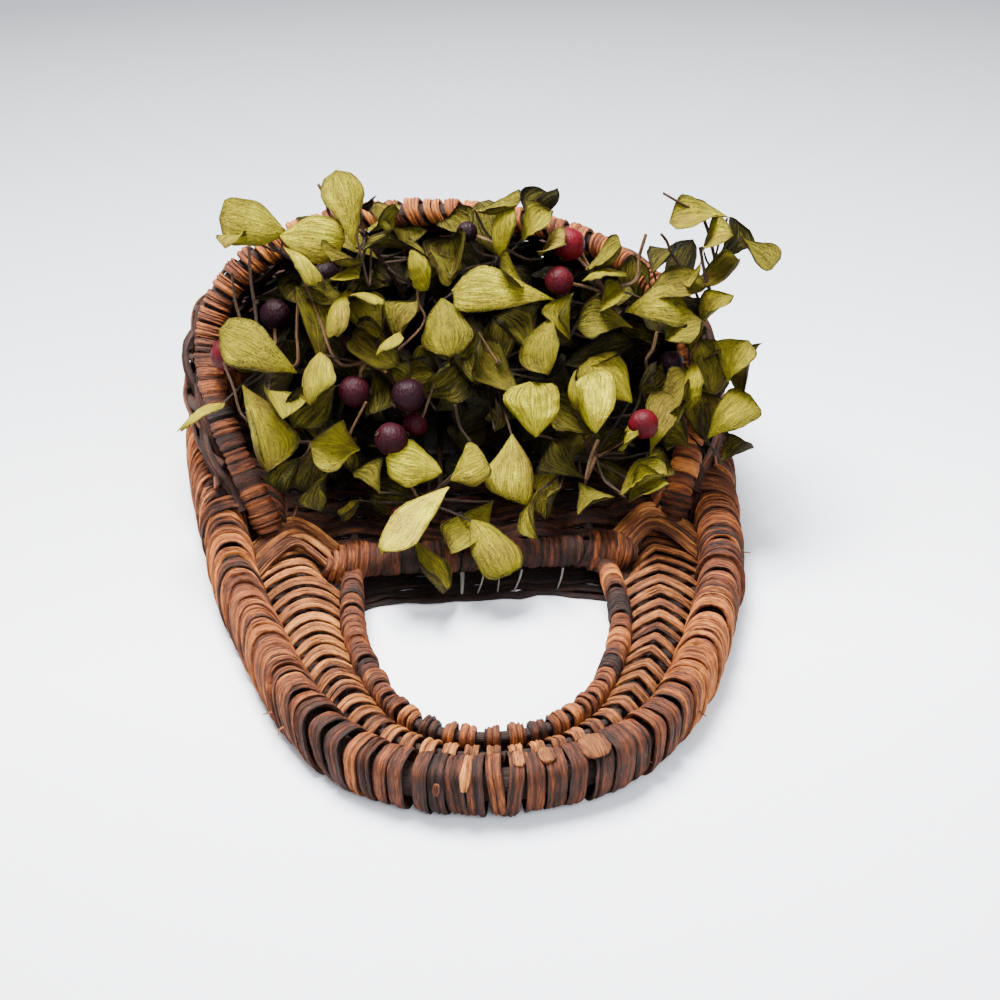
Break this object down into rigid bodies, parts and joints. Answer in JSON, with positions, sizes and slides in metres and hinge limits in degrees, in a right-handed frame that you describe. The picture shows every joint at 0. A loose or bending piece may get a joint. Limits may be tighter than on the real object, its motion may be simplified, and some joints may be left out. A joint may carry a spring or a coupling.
{
  "type": "hanging wall basket",
  "caption": "Small woven wall pocket with a wrapped keyhole handle, a D-shaped hand hole and a bellied pocket filled with dried leaf sprays and berries.",
  "frame": {"origin": "on the flat back of the wrapped hoop, under the middle of the top of the handle", "axes": "+Z out of the wall, -Y towards the handle end, +Y towards the foot of the pocket, +X to the right when the handle end is nearest"},
  "size_m": [0.1863, 0.2457, 0.1019],
  "materials": {
    "bark_dark": "split bark strip, fibrous, matte",
    "bark_tan": "pale inner bark strip, fine grain, matte",
    "vine": "peeled vine rod, matte",
    "leaf": "preserved leaf, soft satin with fine veins",
    "berry": "wrinkled dried berry, half matte",
    "glue": "set glue, cloudy"
  },
  "bodies": {
    "root": {"outer_hoop": "vine", "handle_wrap": "bark_dark", "pocket_wrap": "bark_dark", "cross_bar": "vine", "cross_bar_wrap": "bark_dark", "inner_ring": "vine", "inner_ring_wrap": "bark_dark", "middle_rib": "vine", "band_weaver": "bark_tan", "mouth_rim": "vine", "mouth_rim_wrap": "bark_dark", "front_rib_1": "vine", "front_rib_2": "vine", "front_rib_3": "vine", "front_rib_4": "vine", "front_rib_5": "vine", "front_rib_6": "vine", "front_rib_7": "vine", "front_course_1": "bark_dark", "front_course_2": "bark_dark", "front_course_3": "bark_dark", "front_course_4": "bark_dark", "front_course_5": "bark_dark", "back_stake_1": "vine", "back_stake_2": "vine", "back_stake_3": "vine", "back_stake_4": "vine", "back_stake_5": "vine", "back_row_1": "bark_tan", "back_row_2": "bark_tan", "back_row_3": "bark_tan", "back_row_4": "bark_tan", "back_row_5": "bark_tan", "back_row_6": "bark_tan", "back_row_7": "bark_tan", "glue_patch": "glue", "leaf_spray_1": "leaf", "leaf_spray_2": "leaf", "leaf_spray_3": "leaf", "leaf_spray_4": "leaf", "leaf_spray_5": "leaf", "leaf_spray_6": "leaf", "leaf_spray_7": "leaf", "leaf_spray_8": "leaf", "leaf_spray_9": "leaf", "leaf_spray_10": "leaf", "leaf_spray_11": "leaf", "leaf_spray_12": "leaf", "berry_1": "berry", "berry_2": "berry", "berry_3": "berry", "berry_4": "berry", "berry_5": "berry", "berry_6": "berry", "berry_7": "berry", "berry_8": "berry", "berry_9": "berry", "berry_10": "berry"}
  },
  "joints": []
}
